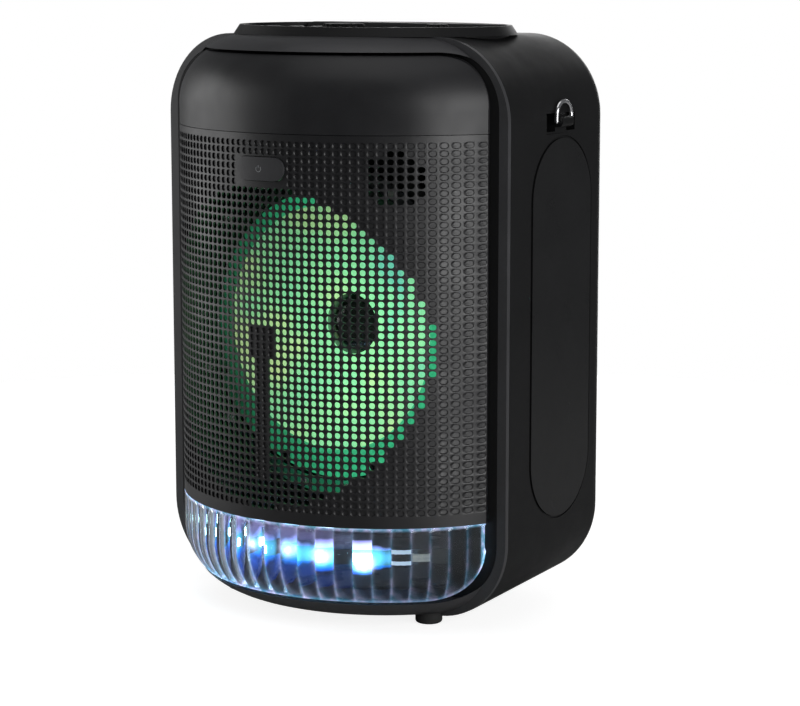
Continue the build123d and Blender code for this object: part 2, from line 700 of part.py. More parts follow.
def make_control_panel():
    """The thin plate that dresses the deck round the knobs and buttons."""
    plate = oval_prism(PANEL_A, PANEL_B, DECK_Z1, PANEL_Z1) & slab(-120, 120, -80, PANEL_Y1, DECK_Z1, PANEL_Z1)
    for x, y, radius in shaft_places():
        plate -= rod_z(radius, x, y, DECK_Z1 - 1, PANEL_Z1 + 1)
    plate -= slab(-15, 15, -46, -38, DECK_Z1 - 1, PANEL_Z1 + 1)
    return plate


def make_display_window():
    """The small window over the display."""
    return slab(-14.8, 14.8, -45.8, -38.2, DECK_Z1, PANEL_Z1 + 0.3)


def make_handle():
    """The grip bar across the well."""
    y_mid = (HANDLE_Y0 + HANDLE_Y1) / 2
    z_mid = (HANDLE_Z0 + HANDLE_Z1) / 2
    plane = Plane(origin=(-100, y_mid, z_mid), x_dir=(0, 1, 0), z_dir=(1, 0, 0))
    bar = extrude(plane * RectangleRounded(HANDLE_Y1 - HANDLE_Y0, HANDLE_Z1 - HANDLE_Z0, 5.0), amount=200)
    return bar & oval_prism(WELL_A, WELL_B, HANDLE_Z0 - 5, HANDLE_Z1 + 5)


def make_handle_grip():
    """The soft strip under the bar, where the fingers go."""
    strip = slab(-50, 50, HANDLE_Y0 + 5, HANDLE_Y1 - 5, HANDLE_Z0 - 2, HANDLE_Z0)
    return fillet(strip.edges().filter_by(Axis.Z), 3)


def make_knob(x, y, radius, flutes):
    """A fluted knob with a pointer line, bored for its shaft."""
    z0 = PANEL_Z1 + 0.6
    knob = rod_z(radius, x, y, z0, KNOB_TOP)
    knob = chamfer(knob.faces().sort_by(Axis.Z)[-1].edges(), 0.8)
    for dx, dy in around(flutes, radius + 0.5, 5):
        knob -= rod_z(1.3, x + dx, y + dy, z0 + 0.8, KNOB_TOP + 1)
    knob -= slab(x - 0.5, x + 0.5, y - radius + 1.5, y - radius * 0.45, KNOB_TOP - 0.4, KNOB_TOP + 1)
    knob -= rod_z(SHAFT_R, x, y, z0 - 1, KNOB_TOP - 1.5)
    return knob


def make_shaft(x, y):
    """The turning shaft of an encoder or a pot."""
    return rod_z(SHAFT_R, x, y, BOARD_Z + 2, KNOB_TOP - 1.5)


def make_pot(x, y):
    """The body and bushing that the shaft turns in."""
    body = slab(x - 5.5, x + 5.5, y - 5.5, y + 5.5, BOARD_Z, BOARD_Z + 7)
    bushing = rod_z(4.2, x, y, BOARD_Z + 6.9, DECK_Z1)
    return body + bushing - rod_z(SHAFT_R + SHAFT_GAP, x, y, BOARD_Z + 1.5, DECK_Z1 + 1)


def make_push_button(x):
    """A round push-button with its keeper flange and stem."""
    cap = rod_z(BUTTON_R, x, BUTTON_Y, CABINET_Z1 - 3.5, PANEL_Z1 + 1.8)
    cap = fillet(cap.faces().sort_by(Axis.Z)[-1].edges(), 0.8)
    flange = rod_z(BUTTON_R + 1.4, x, BUTTON_Y, CABINET_Z1 - 4.5, CABINET_Z1 - 0.3)
    return cap + flange + rod_z(2.0, x, BUTTON_Y, BOARD_Z + 5.2, CABINET_Z1 - 4.4)


def make_control_board():
    """The board under the deck with its tact switches, hung on posts from the collar."""
    board = slab(-75, 75, -20.5, 5.5, BOARD_Z - BOARD_T, BOARD_Z)
    for x in (-56.0, -12.0, 46.0):
        board += rod_z(2.5, x, 2.0, BOARD_Z, CABINET_Z1)
    for x in BUTTON_XS:
        board += slab(x - 3, x + 3, BUTTON_Y - 3, BUTTON_Y + 3, BOARD_Z, BOARD_Z + 4.0)
    return board


# ---------------------------------------------------------------- rear
def make_port_tube():
    """The flared bass port in the rear wall."""
    tube = ring_y(PORT_R + PORT_WALL, PORT_R, PORT_X, PORT_Z, Y_REAR - PORT_LENGTH, Y_REAR)
    flange = ring_y(PORT_R + 7, PORT_R, PORT_X, PORT_Z, Y_REAR - WALL - 2, Y_REAR - WALL)
    flare = turned_y(
        [(PORT_R - 0.5, Y_REAR - 5), (PORT_R + PORT_WALL - 0.3, Y_REAR + 1), (PORT_R - 0.5, Y_REAR + 1)],
        PORT_X, PORT_Z,
    )
    return tube + flange - flare


DC_X = -48.0
AUX_X = -28.0
USB_X = -4.0
MIC_XS = (22.0, 42.0)
SWITCH_X = -4.0
JACK_ROW_Z = JACK_Z - 6.0
SWITCH_Z = JACK_Z + 10.0
DC_R = 2.8
AUX_R = 1.8
MIC_JACK_R = 3.2


def make_jack_panel():
    """The inset plate with the openings for every plug."""
    flange = slab(
        -JACK_W / 2, JACK_W / 2, Y_REAR - WALL - 2, Y_REAR - WALL, JACK_Z - JACK_H / 2, JACK_Z + JACK_H / 2
    )
    lap = JACK_LAP + 0.2
    face = slab(
        -JACK_W / 2 + lap, JACK_W / 2 - lap, Y_REAR - WALL, JACK_FACE_Y,
        JACK_Z - JACK_H / 2 + lap, JACK_Z + JACK_H / 2 - lap,
    )
    panel = flange + face
    y0 = Y_REAR - WALL - 3
    y1 = Y_REAR + 1
    panel -= rod_y(5.5, DC_X, JACK_ROW_Z, y0, y1)
    panel -= rod_y(5.0, AUX_X, JACK_ROW_Z, y0, y1)
    panel -= slab(USB_X - 7.2, USB_X + 7.2, y0, y1, JACK_ROW_Z - 3.9, JACK_ROW_Z + 3.9)
    for x in MIC_XS:
        panel -= rod_y(7.0, x, JACK_ROW_Z, y0, y1)
    panel -= slab(SWITCH_X - 10.2, SWITCH_X + 10.2, y0, y1, SWITCH_Z - 6.7, SWITCH_Z + 6.7)
    return panel


def make_round_jack(x, outer, bore):
    """A round socket on the main board, open to the rear."""
    y0 = BOARD_Y + BOARD_T
    return ring_y(outer, bore, x, JACK_ROW_Z, y0, JACK_FACE_Y)


def make_usb_socket():
    """The metal shell of the stick socket, open to the rear."""
    y0 = BOARD_Y + BOARD_T
    shell = slab(USB_X - 7.0, USB_X + 7.0, y0, JACK_FACE_Y, JACK_ROW_Z - 3.7, JACK_ROW_Z + 3.7)
    shell -= slab(USB_X - 6.1, USB_X + 6.1, y0 + 3, Y_REAR + 1, JACK_ROW_Z - 2.6, JACK_ROW_Z + 2.6)
    return shell


ROCKER_AXIS_Y = Y_REAR - 4.0


def make_switch_body():
    """The frame of the mains rocker, clipped into the jack panel."""
    body = slab(SWITCH_X - 10.0, SWITCH_X + 10.0, BOARD_Y + 4, JACK_FACE_Y, SWITCH_Z - 6.5, SWITCH_Z + 6.5)
    body += slab(SWITCH_X - 11.5, SWITCH_X + 11.5, JACK_FACE_Y, Y_REAR, SWITCH_Z - 8.0, SWITCH_Z + 8.0)
    body -= slab(SWITCH_X - 8.5, SWITCH_X + 8.5, Y_REAR - 11, Y_REAR + 3, SWITCH_Z - 5.2, SWITCH_Z + 5.2)
    body -= rod_z(1.2 + SHAFT_GAP, SWITCH_X, ROCKER_AXIS_Y, SWITCH_Z - 6.2, SWITCH_Z + 6.2)
    return body


def make_rocker():
    """The rocking key with its two pivot pins."""
    key = Plane(origin=(0, 0, SWITCH_Z - 4.9)) * make_face(Polyline(
        (SWITCH_X - 7.6, ROCKER_AXIS_Y - 1.5),
        (SWITCH_X + 7.6, ROCKER_AXIS_Y - 1.5),
        (SWITCH_X + 7.9, ROCKER_AXIS_Y + 4.2),
        (SWITCH_X, ROCKER_AXIS_Y + 2.9),
        (SWITCH_X - 7.9, ROCKER_AXIS_Y + 4.2),
        close=True,
    ))
    return extrude(key, amount=9.8) + rod_z(1.2, SWITCH_X, ROCKER_AXIS_Y, SWITCH_Z - 6.0, SWITCH_Z + 6.0)


def make_main_board():
    """The amplifier board behind the jacks, on four legs from the jack panel."""
    board = slab(-58, 58, BOARD_Y, BOARD_Y + BOARD_T, JACK_Z - 24, JACK_Z + 24)
    for x in (-56.0, 56.0):
        for z in (JACK_Z - 20, JACK_Z + 20):
            board += rod_y(2.0, x, z, BOARD_Y + BOARD_T, Y_REAR - WALL - 2)
    return board


def make_heatsink():
    """The finned block on the amplifier board."""
    block = slab(-30, 30, BOARD_Y - 14, BOARD_Y, JACK_Z - 16, JACK_Z + 16)
    fins = 9
    for i in range(fins):
        x = -30 + 60 * (i + 0.5) / fins
        block -= slab(x - 1.8, x + 1.8, BOARD_Y - 15, BOARD_Y - 3, JACK_Z - 17, JACK_Z + 17)
    return block


BATTERY = (-55.0, 55.0, 10.0, 66.0, 18.0, 50.0)


def make_battery():
    """The wrapped pack of cells."""
    x0, x1, y0, y1, z0, z1 = BATTERY
    return fillet(slab(x0, x1, y0, y1, z0, z1).edges().filter_by(Axis.X), 6)


def make_battery_cradle():
    """The tray that the pack sits in, on the cabinet's floor."""
    x0, x1, y0, y1, z0, z1 = BATTERY
    tray = slab(x0 - 3, x1 + 3, y0 - 3, y1 + 3, 5, z0 + 8) & tub_inside()
    return tray - slab(x0, x1, y0, y1, z0, z1)


# ---------------------------------------------------------------- feet and screws
def make_feet():
    """The four rubber feet, shaped to the base above them."""
    nose = bowed_solid(FRONT_R + 0.4, CABINET_Z0, CABINET_Z1, CABINET_EDGE)
    base = tub_outside() + (nose & slab(-150, 150, Y_FRONT - 2, Y_FLANGE, -5, 400))
    base += front_prism(CABINET_W, CABINET_Z0, CABINET_Z1, CABINET_CORNER, Y_FLANGE, Y_TUB)
    feet = []
    for x, y in foot_places():
        foot = rod_z(FOOT_R, x, y, 0, 14)
        foot = fillet(foot.faces().sort_by(Axis.Z)[0].edges(), 2.0)
        foot -= base
        foot -= rod_z(3.2, x, y, -1, 2.5)
        foot -= rod_z(1.6, x, y, 0, 20)
        feet.append(foot)
    return Compound(children=feet)


def make_foot_screws():
    """The screws up through the feet."""
    screws = []
    for x, y in foot_places():
        screws.append(rod_z(3.0, x, y, 1.0, 2.5) + rod_z(1.6, x, y, 2.4, 17))
    return screws


# ---------------------------------------------------------------- all pieces
cover = cover_body()
power_hole = pill(PILL_W + 2 * RUN_GAP, PILL_H + 2 * RUN_GAP, PILL_Z, Y_FRONT - 2, Y_FRONT + 12)

save(make_front_bezel(), "front_bezel")
save(cover & band(COVER_Z0 - 1, LENS_TOP - SEAM / 2), "light_lens")
save((cover & band(LENS_TOP + SEAM / 2, CAP_BOTTOM - SEAM / 2)) - power_hole, "front_grille")
save(cover & band(CAP_BOTTOM + SEAM / 2, COVER_Z1 + 1), "front_cap")
save(make_power_button(), "power_button")
save(make_switch_board(), "power_switch_board")
save(make_reflector(), "light_reflector")
save(make_led_strip(), "light_strip")
save(make_lens_leds(), "lens_leds")

save(make_baffle(), "driver_baffle")
baffle_screws = screws_y(LUG_PLACES, Y_FLANGE, 3.2, 1.5, 16)
tweeter_screws = screws_y(
    [(TWEETER_X + x, TWEETER_Z + z) for x, z in around(4, 24.0, 45)], Y_FLANGE - 2.5, 2.2, 1.25, 9, 1.4
)

save(make_woofer_frame(), "woofer_frame")
save(make_surround(), "woofer_surround")
save(make_cone(), "woofer_cone")
save(make_dust_cap(), "woofer_dust_cap")
save(make_voice_coil(), "woofer_voice_coil")
save(make_spider(), "woofer_spider")
y_magnet = Y_TOP_PLATE + TOP_PLATE_T
y_back = y_magnet + MAGNET_T
top_plate = ring_y(MAGNET_R - 1, GAP_R, 0, WOOFER_Z, Y_TOP_PLATE, y_magnet)
save(ring_y(MAGNET_R, GAP_R + 4, 0, WOOFER_Z, y_magnet, y_back), "woofer_magnet")
pole = rod_y(POLE_R, 0, WOOFER_Z, Y_TOP_PLATE, y_back + 0.1)
pole += rod_y(MAGNET_R - 1, 0, WOOFER_Z, y_back, y_back + BACK_PLATE_T)
save(Compound(children=[top_plate, pole]), "woofer_motor_plates")
woofer_screws = [(x, WOOFER_Z + z) for x, z in around(8, WOOFER_SCREW_R, 22.5)]
woofer_screws = screws_y(woofer_screws, Y_RIM, 3.2, 1.75, 12)

save(make_light_ring(), "cone_light_ring")
save(make_ring_leds(), "ring_leds")

save(make_tweeter_frame(), "tweeter_frame")
save(make_tweeter_dome(), "tweeter_dome")
y_pot = Y_FLANGE + 16
save(rod_y(18.0, TWEETER_X, TWEETER_Z, y_pot, y_pot + 9), "tweeter_magnet")

save(make_rear_cabinet(), "rear_cabinet")
save(make_top_plate(), "top_plate")
save(make_rear_panel(), "rear_panel")
save(Compound(children=[make_side_panel(side) for side in (-1, 1)]), "side_panels")
save(Compound(children=[make_strap_bracket(side) for side in (-1, 1)]), "strap_brackets")
for side, word in ((-1, "left"), (1, "right")):
    save(make_strap_ring(side), f"strap_ring_{word}")

save(make_top_collar(), "top_collar")
save(make_hand_well(), "hand_well")
save(make_control_panel(), "control_panel")
save(make_display_window(), "display_window")
save(make_handle(), "carry_handle")
save(make_handle_grip(), "handle_grip")
save(make_knob(VOLUME_X, VOLUME_Y, VOLUME_R, 20), "volume_knob")
save(make_shaft(VOLUME_X, VOLUME_Y), "volume_shaft")
save(make_knob(MIC_X, MIC_Y, MIC_R, 12), "mic_knob")
save(make_shaft(MIC_X, MIC_Y), "mic_shaft")
pots = [make_pot(VOLUME_X, VOLUME_Y), make_pot(MIC_X, MIC_Y)]
save(Compound(children=pots), "rotary_pots")
for x, word in zip(BUTTON_XS, ("mode", "play", "light", "source")):
    save(make_push_button(x), f"{word}_button")
save(make_control_board(), "control_board")

save(make_port_tube(), "bass_port")
save(make_jack_panel(), "jack_panel")
save(make_round_jack(DC_X, 5.3, DC_R), "charge_inlet")
save(make_round_jack(AUX_X, 4.8, AUX_R), "aux_jack")
mic_jacks = [make_round_jack(x, 6.8, MIC_JACK_R) for x in MIC_XS]
save(Compound(children=mic_jacks), "mic_jacks")
save(make_usb_socket(), "usb_socket")
save(make_switch_body(), "rocker_frame")
save(make_rocker(), "power_rocker")
save(make_main_board(), "main_board")
save(make_heatsink(), "amplifier_heatsink")
save(make_battery(), "battery_pack")
save(make_battery_cradle(), "battery_cradle")
save(make_feet(), "rubber_feet")
all_screws = baffle_screws + tweeter_screws + woofer_screws + make_foot_screws() + make_rear_screws()
save(Compound(children=all_screws), "case_screws")
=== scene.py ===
"""Looks for the portable party speaker: materials, the finer visible shapes, studio and camera.

Row frame: +Z up, the front faces -Y, +X is the viewer's right. Shape dimensions here are in
millimetres, as in the CAD, and mm() turns them into Blender's metres.
"""
import math

import bpy
from mathutils import Matrix, Vector


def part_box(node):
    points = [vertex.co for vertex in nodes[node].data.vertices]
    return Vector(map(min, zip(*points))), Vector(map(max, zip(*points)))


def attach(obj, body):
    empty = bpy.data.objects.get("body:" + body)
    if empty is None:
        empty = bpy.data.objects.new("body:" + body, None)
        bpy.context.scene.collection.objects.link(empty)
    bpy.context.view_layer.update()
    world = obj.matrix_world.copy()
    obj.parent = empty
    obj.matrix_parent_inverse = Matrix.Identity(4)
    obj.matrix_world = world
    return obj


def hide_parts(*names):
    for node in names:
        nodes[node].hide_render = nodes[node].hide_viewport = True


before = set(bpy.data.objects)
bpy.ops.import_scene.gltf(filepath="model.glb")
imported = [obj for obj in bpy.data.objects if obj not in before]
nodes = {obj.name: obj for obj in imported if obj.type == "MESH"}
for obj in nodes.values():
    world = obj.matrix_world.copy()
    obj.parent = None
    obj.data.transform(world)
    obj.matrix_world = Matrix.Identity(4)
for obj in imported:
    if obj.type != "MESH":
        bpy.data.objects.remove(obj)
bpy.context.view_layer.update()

# ---------------------------------------------------------------- driving dimensions, mm
Y_FRONT = -106.3
FRONT_R = 140.4          # plan radius of the bowed front
Y_AXIS = Y_FRONT + FRONT_R
COVER_HALF = 124.3
COVER_WALL = 2.6
GRILLE_Z0 = 72.6
GRILLE_Z1 = 323.8

PITCH = 5.0              # spacing of the grille's cells
COLUMNS = 50
ROWS = 48
ROW_TOP = 317.5          # height of the first row
HOLE_R = 1.95
HOLE_LIP = 0.14          # how much wider a hole is at its mouth
HOLE_SQUARE = 2.6        # 2 is a circle, more is squarer
GRILLE_WALL = 1.6        # the perforated skin is thinner than the rest of the cover
BLIND_DEPTH = 1.1
FIELD_Z = 186.0          # open cells lie inside this circle
FIELD_R = 104.0
CELL_STEPS = 4           # lattice steps along one side of a cell

PILL_HALF = 11.5         # straight half length of the power button's opening
PILL_R = 7.9
PILL_Z = 301.5
PILL_BOX = (-20.0, 20.0, 290.0, 310.0)

LENS_TOP = 72.2
LENS_Z0 = 21.0
LENS_CORNER = 33.0
LENS_EDGE = 42.0         # rounding of the drum into the base
LENS_EDGE_Z = 50.0       # the rounding starts below this height
FLUTES = 24
FLUTE_STEPS = 10
FLUTE_DEPTH = 1.5
FROST_RISE = 24.0        # how far the frosted wedge's painted glow climbs each flute

WOOFER_Z = 190.0
LED_Z = 48.0


def mm(*values):
    """Millimetres to metres, as a vector."""
    return Vector([v * 0.001 for v in values])


def drum_y(x):
    """Y of the bowed front at this x."""
    return Y_AXIS - math.sqrt(max(FRONT_R * FRONT_R - x * x, 0.0))


# ---------------------------------------------------------------- material helpers
def new_material(name):
    material = bpy.data.materials.new(name)
    material.use_nodes = True
    tree = material.node_tree
    return material, tree, tree.nodes["Principled BSDF"]


def feed(tree, shader, socket, value):
    """Links a node's output to one socket of the shader."""
    tree.links.new(value, shader.inputs[socket])


def add(tree, kind, **settings):
    """A new node of a kind, with its settings."""
    node = tree.nodes.new(kind)
    for key, value in settings.items():
        setattr(node, key, value)
    return node


def noise(tree, coords, size_mm, detail=4.0, roughness=0.55, stretch=(1, 1, 1)):
    """Noise with features of about size_mm."""
    mapping = add(tree, "ShaderNodeMapping")
    mapping.inputs["Scale"].default_value = stretch
    tree.links.new(coords, mapping.inputs["Vector"])
    node = add(tree, "ShaderNodeTexNoise")
    node.inputs["Scale"].default_value = 1000.0 / size_mm
    node.inputs["Detail"].default_value = detail
    node.inputs["Roughness"].default_value = roughness
    tree.links.new(mapping.outputs["Vector"], node.inputs["Vector"])
    return node.outputs["Fac"]


def ramp(tree, value, stops):
    """A colour ramp through (position, colour) stops."""
    node = add(tree, "ShaderNodeValToRGB")
    elements = node.color_ramp.elements
    while len(elements) < len(stops):
        elements.new(0.5)
    for element, (position, colour) in zip(elements, stops):
        element.position = position
        element.color = (*colour, 1.0)
    tree.links.new(value, node.inputs["Fac"])
    return node.outputs["Color"]


def two_tone(tree, value, low, high):
    """A ramp between two colours over the range most noise lies in."""
    return ramp(tree, value, [(0.3, low), (0.7, high)])


def remap(tree, value, from_low, from_high, low, high):
    """Carries one range of a value over to another, and stops at its ends."""
    node = add(tree, "ShaderNodeMapRange")
    node.inputs["From Min"].default_value = from_low
    node.inputs["From Max"].default_value = from_high
    node.inputs["To Min"].default_value = low
    node.inputs["To Max"].default_value = high
    tree.links.new(value, node.inputs["Value"])
    return node.outputs["Result"]


def vary(tree, value, low, high):
    """Noise carried over to a range of the caller's."""
    return remap(tree, value, 0.3, 0.7, low, high)


def calc(tree, operation, a, b=None):
    """One Math node; a and b are sockets or numbers."""
    node = add(tree, "ShaderNodeMath", operation=operation)
    for socket, value in zip(node.inputs, (a, b)):
        if value is None:
            continue
        if isinstance(value, (int, float)):
            socket.default_value = value
        else:
            tree.links.new(value, socket)
    return node.outputs[0]


def mix_colour(tree, factor, a, b, blend="MIX"):
    node = add(tree, "ShaderNodeMix", data_type="RGBA", blend_type=blend)
    for socket, value in zip((node.inputs[0], node.inputs[6], node.inputs[7]), (factor, a, b)):
        if isinstance(value, tuple):
            socket.default_value = (*value, 1.0)
        elif isinstance(value, (int, float)):
            socket.default_value = value
        else:
            tree.links.new(value, socket)
    return node.outputs[2]


def bump(tree, height, depth_mm, strength=1.0):
    node = add(tree, "ShaderNodeBump")
    node.inputs["Strength"].default_value = strength
    node.inputs["Distance"].default_value = depth_mm * 0.001
    tree.links.new(height, node.inputs["Height"])
    return node.outputs["Normal"]


def object_coords(tree):
    return add(tree, "ShaderNodeTexCoord").outputs["Object"]


def split_xz(tree, coords):
    """The x and z of a point, in metres."""
    split = add(tree, "ShaderNodeSeparateXYZ")
    tree.links.new(coords, split.inputs["Vector"])
    return split.outputs["X"], split.outputs["Z"]


def length(tree, a, b):
    """The length of the vector with components a and b."""
    squares = calc(tree, "ADD", calc(tree, "MULTIPLY", a, a), calc(tree, "MULTIPLY", b, b))
    return calc(tree, "SQRT", squares)


def distance_from(tree, x, z, x_mm, z_mm):
    """How far a point is from a place on the front, in metres."""
    dx = calc(tree, "SUBTRACT", x, x_mm * 0.001)
    dz = calc(tree, "SUBTRACT", z, z_mm * 0.001)
    return length(tree, dx, dz)


def scaled(colour, factor):
    return tuple(min(c * factor, 1.0) for c in colour)


SHEEN_SPREAD = 0.08      # how uneven the roughness of moulded plastic is
MOTTLE = 0.18            # how uneven its colour is


def plastic(name, colour, rough, grain_mm, grain_depth, specular, coat):
    """Moulded plastic: fine spark texture, uneven sheen and slight handling marks."""
    material, tree, shader = new_material(name)
    coords = object_coords(tree)
    broad = noise(tree, coords, 45.0, detail=3.0)
    fine = noise(tree, coords, grain_mm, detail=5.0, roughness=0.6)
    colours = two_tone(tree, broad, scaled(colour, 1 - MOTTLE), scaled(colour, 1 + MOTTLE))
    specks = remap(tree, fine, 0.35, 0.75, 0.9, 1.25)
    shade = mix_colour(tree, 1.0, colours, specks, "MULTIPLY")
    feed(tree, shader, "Base Color", shade)
    sheen = calc(tree, "ADD", vary(tree, broad, rough - SHEEN_SPREAD, rough + SHEEN_SPREAD),
                 vary(tree, fine, -SHEEN_SPREAD / 2, SHEEN_SPREAD / 2))
    feed(tree, shader, "Roughness", sheen)
    feed(tree, shader, "Normal", bump(tree, fine, grain_depth))
    shader.inputs["Specular IOR Level"].default_value = specular
    shader.inputs["Coat Weight"].default_value = coat
    shader.inputs["Coat Roughness"].default_value = 0.12
    return material


def metal(name, colour, rough, grain_mm=0.8, stretch=(1, 1, 1), tarnish=0.25):
    """Bare or plated metal with drawn or cast grain."""
    material, tree, shader = new_material(name)
    coords = object_coords(tree)
    grain = noise(tree, coords, grain_mm, detail=4.0, stretch=stretch)
    stain = noise(tree, coords, 9.0, detail=3.0)
    colours = ramp(tree, stain, [(0.3, scaled(colour, 1 - tarnish)), (0.65, colour)])
    feed(tree, shader, "Base Color", colours)
    feed(tree, shader, "Roughness", vary(tree, grain, rough * 0.7, rough * 1.4))
    feed(tree, shader, "Normal", bump(tree, grain, 0.01))
    shader.inputs["Metallic"].default_value = 1.0
    return material


def cone_material():
    """Pulp cone with the ring's coloured light painted on as a glow: green, lime and teal patches, dimmer
    at the rim, to the left and at the top.
    """
    material, tree, shader = new_material("cone_paper")
    coords = object_coords(tree)
    x, z = split_xz(tree, coords)
    away = length(tree, x, calc(tree, "SUBTRACT", z, WOOFER_Z * 0.001))
    patches = noise(tree, coords, 55.0, detail=2.0)
    colours = ramp(tree, patches, [
        (0.30, (0.10, 0.66, 0.50)), (0.42, (0.22, 0.88, 0.42)),
        (0.56, (0.32, 0.95, 0.40)), (0.70, (0.66, 0.95, 0.36)),
    ])
    fibres = noise(tree, coords, 1.4, detail=6.0)
    # painted light: the glow dims towards the rim, to the left and at the top
    rim = remap(tree, away, 0.05, 0.09, 1.0, 0.75)
    side = remap(tree, x, -0.08, 0.0, 0.45, 1.0)
    top = remap(tree, z, 0.20, 0.28, 1.0, 0.45)
    power = calc(tree, "MULTIPLY", calc(tree, "MULTIPLY", rim, side), vary(tree, fibres, 0.85, 1.1))
    power = calc(tree, "MULTIPLY", power, top)
    feed(tree, shader, "Emission Color", colours)
    feed(tree, shader, "Emission Strength", power)
    feed(tree, shader, "Base Color", two_tone(tree, fibres, (0.35, 0.4, 0.36), (0.6, 0.66, 0.6)))
    feed(tree, shader, "Normal", bump(tree, fibres, 0.12))
    shader.inputs["Roughness"].default_value = 0.8
    return material


def lit_black(name, at_top):
    """Black parts round the cone with its green light painted on: a green tint in the colour and a green
    glow, stronger to the right; at_top is what is left of the glow high up.
    """
    material, tree, shader = new_material(name)
    coords = object_coords(tree)
    grain = noise(tree, coords, 2.2, detail=4.0)
    # painted green light: a green tint in the colour and a green glow
    feed(tree, shader, "Base Color", two_tone(tree, grain, (0.02, 0.06, 0.035), (0.035, 0.10, 0.055)))
    feed(tree, shader, "Emission Color", two_tone(tree, grain, (0.02, 0.30, 0.13), (0.04, 0.44, 0.20)))
    x, z = split_xz(tree, coords)
    side = remap(tree, x, -0.08, 0.01, 0.15, 1.1)
    power = calc(tree, "MULTIPLY", side, remap(tree, z, 0.11, 0.17, 1.0, at_top))
    feed(tree, shader, "Emission Strength", power)
    feed(tree, shader, "Roughness", vary(tree, grain, 0.45, 0.7))
    feed(tree, shader, "Normal", bump(tree, grain, 0.05))
    return material


# the lit packages behind the lens: x in mm, strength of the painted light round each
LIT_LEDS = ((-95.0, 3.0), (-65.0, 2.0), (-35.0, 3.0), (-5.0, 4.0), (25.0, 9.0), (55.0, 14.0))
HALO_REACH = 0.012       # how far a package's painted light spreads over what is round it, m


def led_halo(tree, x, z, gain=1.0):
    """Painted light round the lit packages, falling off over about a centimetre."""
    total = 0.0
    for led_x, strength in LIT_LEDS:
        reach = distance_from(tree, x, z, led_x, LED_Z)
        total = calc(tree, "ADD", total, remap(tree, reach, 0.002, HALO_REACH, strength * gain, 0.0))
    return total


def glow_reflector():
    """The tray behind the lens: painted blue-white light on the lit side, dark on the other, with painted
    light round the lit packages.
    """
    material, tree, shader = new_material("reflector_plastic")
    coords = object_coords(tree)
    x, z = split_xz(tree, coords)
    cloud = noise(tree, coords, 16.0, detail=3.0)
    colours = ramp(tree, remap(tree, z, 0.026, 0.068, 0.0, 1.0), [
        (0.0, (0.003, 0.03, 0.24)), (0.28, (0.006, 0.10, 0.70)),
        (0.52, (0.02, 0.36, 0.98)), (0.75, (0.24, 0.24, 0.62)), (1.0, (0.34, 0.27, 0.52)),
    ])
    # painted light: brighter to the left, with light round the packages, and none above the tray's top
    side = remap(tree, x, -0.03, 0.055, 1.0, 0.01)
    power = calc(tree, "MULTIPLY", side, remap(tree, cloud, 0.35, 0.65, 0.2, 1.1))
    power = calc(tree, "ADD", power, led_halo(tree, x, z))
    power = calc(tree, "MULTIPLY", power, remap(tree, z, 0.0675, 0.0685, 1.0, 0.0))
    feed(tree, shader, "Emission Color", colours)
    feed(tree, shader, "Emission Strength", power)
    feed(tree, shader, "Base Color", two_tone(tree, cloud, (0.006, 0.008, 0.010), (0.02, 0.024, 0.03)))
    feed(tree, shader, "Roughness", vary(tree, cloud, 0.2, 0.35))
    return material


def led_material():
    """Packages behind the lens shine cyan-white on the lit side; the last one and the ring's are off."""
    material, tree, shader = new_material("led_package")
    coords = object_coords(tree)
    x, z = split_xz(tree, coords)
    grain = noise(tree, coords, 1.2)
    on = remap(tree, x, 0.060, 0.070, 1.0, 0.0)
    low = remap(tree, z, 0.070, 0.074, 1.0, 0.0)
    lit = calc(tree, "MULTIPLY", on, low)
    power = calc(tree, "MULTIPLY", lit, vary(tree, grain, 24.0, 34.0))
    feed(tree, shader, "Emission Strength", power)
    feed(tree, shader, "Emission Color", two_tone(tree, grain, (0.45, 0.95, 1.0), (0.7, 1.0, 1.0)))
    feed(tree, shader, "Base Color", two_tone(tree, grain, (0.5, 0.52, 0.5), (0.7, 0.7, 0.62)))
    shader.inputs["Roughness"].default_value = 0.3
    return material


# painted highlights, bright spots where the lens catches a lamp: x and z in mm, strength
LENS_GLOWS = ((67.0, 49.5, 8.0), (41.0, 53.0, 5.0), (18.0, 55.5, 3.0), (-10.0, 55.7, 2.0))
GLOW_REACH = 0.010       # radius of a bright spot, m


